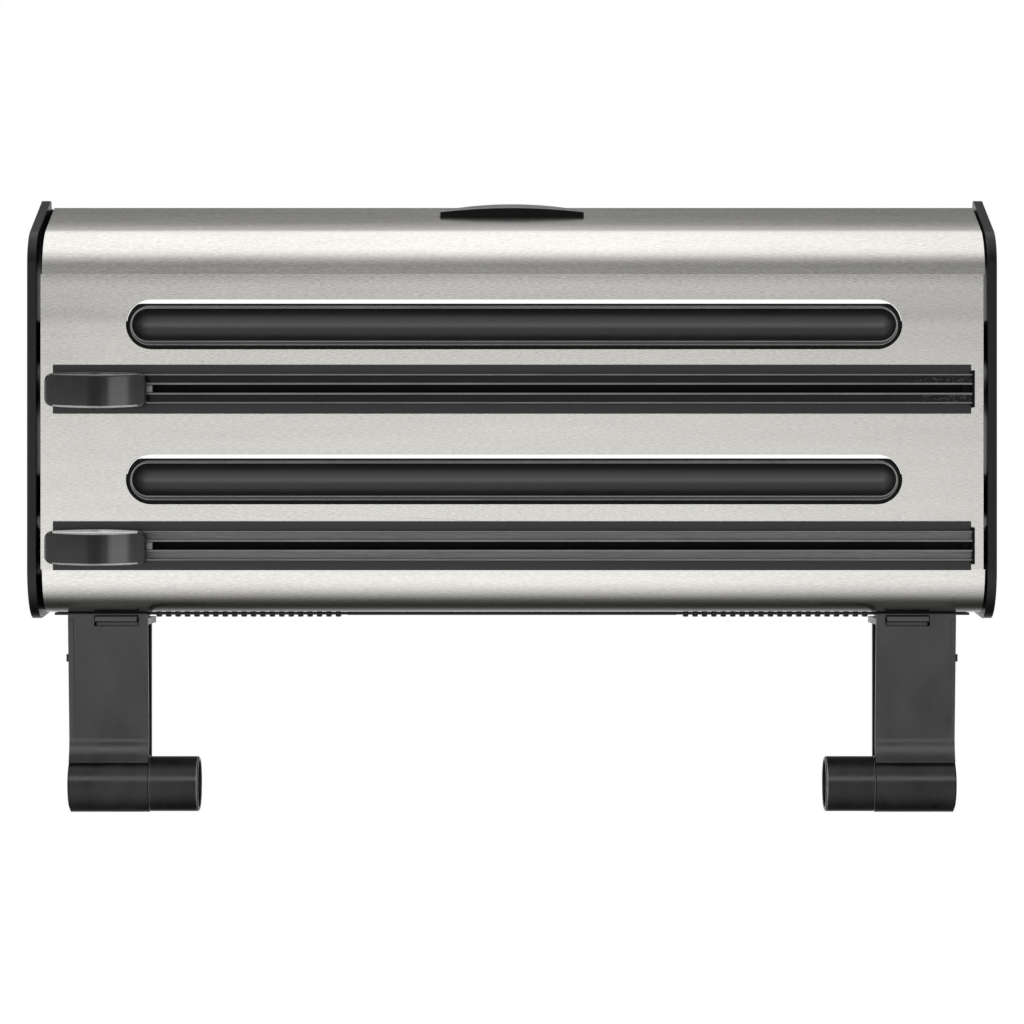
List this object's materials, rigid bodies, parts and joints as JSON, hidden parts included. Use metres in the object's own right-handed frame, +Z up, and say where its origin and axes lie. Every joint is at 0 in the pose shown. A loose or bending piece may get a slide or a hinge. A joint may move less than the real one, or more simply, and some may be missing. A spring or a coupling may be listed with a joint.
{
  "type": "kitchen roll dispenser",
  "caption": "Wall dispenser with a tilting brushed steel front over film rolls, sliding cutters on black rails, and sliding arms with spigots for a kitchen roll below.",
  "frame": {"origin": "on the wall plane, at the middle of the upper line of wall screws", "axes": "+X to the viewer's right, +Y into the wall, +Z up; the front looks towards -Y"},
  "size_m": [0.388, 0.1059, 0.2506],
  "materials": {
    "brushed_stainless": "stainless sheet brushed along its length",
    "satin_black": "moulded black plastic with a fine satin grain",
    "trough_black": "moulded black plastic with a pebbled grain",
    "gloss_black": "smooth extruded and moulded black plastic",
    "arm_black": "moulded charcoal plastic, smooth satin",
    "shoe_grey": "natural grey low-friction plastic",
    "blade_steel": "ground blade steel",
    "zinc_steel": "zinc plated steel"
  },
  "bodies": {
    "housing": {"left_cheek": "satin_black", "right_cheek": "satin_black", "top_beam": "satin_black", "rear_frame": "satin_black", "arm_track": "satin_black", "toothed_rail": "arm_black", "rack_screws": "zinc_steel", "cheek_screws": "zinc_steel", "upper_roll_cradle": "satin_black", "lower_roll_cradle": "satin_black", "left_hinge_pin": "zinc_steel", "right_hinge_pin": "zinc_steel"},
    "cover": {"steel_fascia": "brushed_stainless", "cover_liner": "satin_black", "left_end_bracket": "satin_black", "right_end_bracket": "satin_black", "upper_film_trough": "trough_black", "lower_film_trough": "trough_black", "trough_screws": "zinc_steel", "upper_cutter_rail": "gloss_black", "lower_cutter_rail": "gloss_black", "upper_rail_ends": "satin_black", "lower_rail_ends": "satin_black", "button_guide": "satin_black", "button_springs": "zinc_steel"},
    "button": {"release_button": "gloss_black", "latch_hook": "satin_black"},
    "upper_cutter": {"upper_cutter_knob": "gloss_black", "upper_cutter_shoe": "shoe_grey", "upper_cutter_blade": "blade_steel", "upper_knob_pins": "zinc_steel"},
    "lower_cutter": {"lower_cutter_knob": "gloss_black", "lower_cutter_shoe": "shoe_grey", "lower_cutter_blade": "blade_steel", "lower_knob_pins": "zinc_steel"},
    "left_arm": {"left_arm_body": "arm_black", "left_arm_cover": "arm_black", "left_arm_slider": "shoe_grey", "left_slider_screws": "zinc_steel"},
    "right_arm": {"right_arm_body": "arm_black", "right_arm_cover": "arm_black", "right_arm_slider": "shoe_grey", "right_slider_screws": "zinc_steel"},
    "left_ratchet": {"left_pawl": "arm_black"},
    "right_ratchet": {"right_pawl": "arm_black"},
    "left_roll_end": {"left_spigot": "arm_black", "left_spigot_axle": "arm_black"},
    "right_roll_end": {"right_spigot": "arm_black", "right_spigot_axle": "arm_black"}
  },
  "joints": [
    {"name": "cover_hinge", "type": "hinge", "parent": "housing", "child": "cover", "pos_m": [0, -0.075, -0.135], "axis": [1, 0, 0], "range_deg": [0, 75]},
    {"name": "button_press", "type": "slide", "parent": "cover", "child": "button", "axis": [0, 0, -1], "range_m": [0, 0.0025], "stiffness_N_per_m": 900, "springref_m": -0.0015, "deforming": ["button_springs"]},
    {"name": "upper_cutter_slide", "type": "slide", "parent": "cover", "child": "upper_cutter", "axis": [1, 0, 0], "range_m": [0, 0.322]},
    {"name": "lower_cutter_slide", "type": "slide", "parent": "cover", "child": "lower_cutter", "axis": [1, 0, 0], "range_m": [0, 0.322]},
    {"name": "left_arm_slide", "type": "slide", "parent": "housing", "child": "left_arm", "axis": [1, 0, 0], "range_m": [0, 0.073]},
    {"name": "right_arm_slide", "type": "slide", "parent": "housing", "child": "right_arm", "axis": [-1, 0, 0], "range_m": [0, 0.073]},
    {"name": "left_pawl_press", "type": "slide", "parent": "left_arm", "child": "left_ratchet", "axis": [0, 0, -1], "range_m": [0, 0.0015], "stiffness_N_per_m": 1200, "springref_m": -0.001},
    {"name": "right_pawl_press", "type": "slide", "parent": "right_arm", "child": "right_ratchet", "axis": [0, 0, -1], "range_m": [0, 0.0015], "stiffness_N_per_m": 1200, "springref_m": -0.001},
    {"name": "left_spigot_spin", "type": "hinge", "parent": "left_arm", "child": "left_roll_end", "pos_m": [-0.137, -0.065, -0.2228], "axis": [1, 0, 0], "continuous": true},
    {"name": "right_spigot_spin", "type": "hinge", "parent": "right_arm", "child": "right_roll_end", "pos_m": [0.137, -0.065, -0.2228], "axis": [1, 0, 0], "continuous": true}
  ]
}
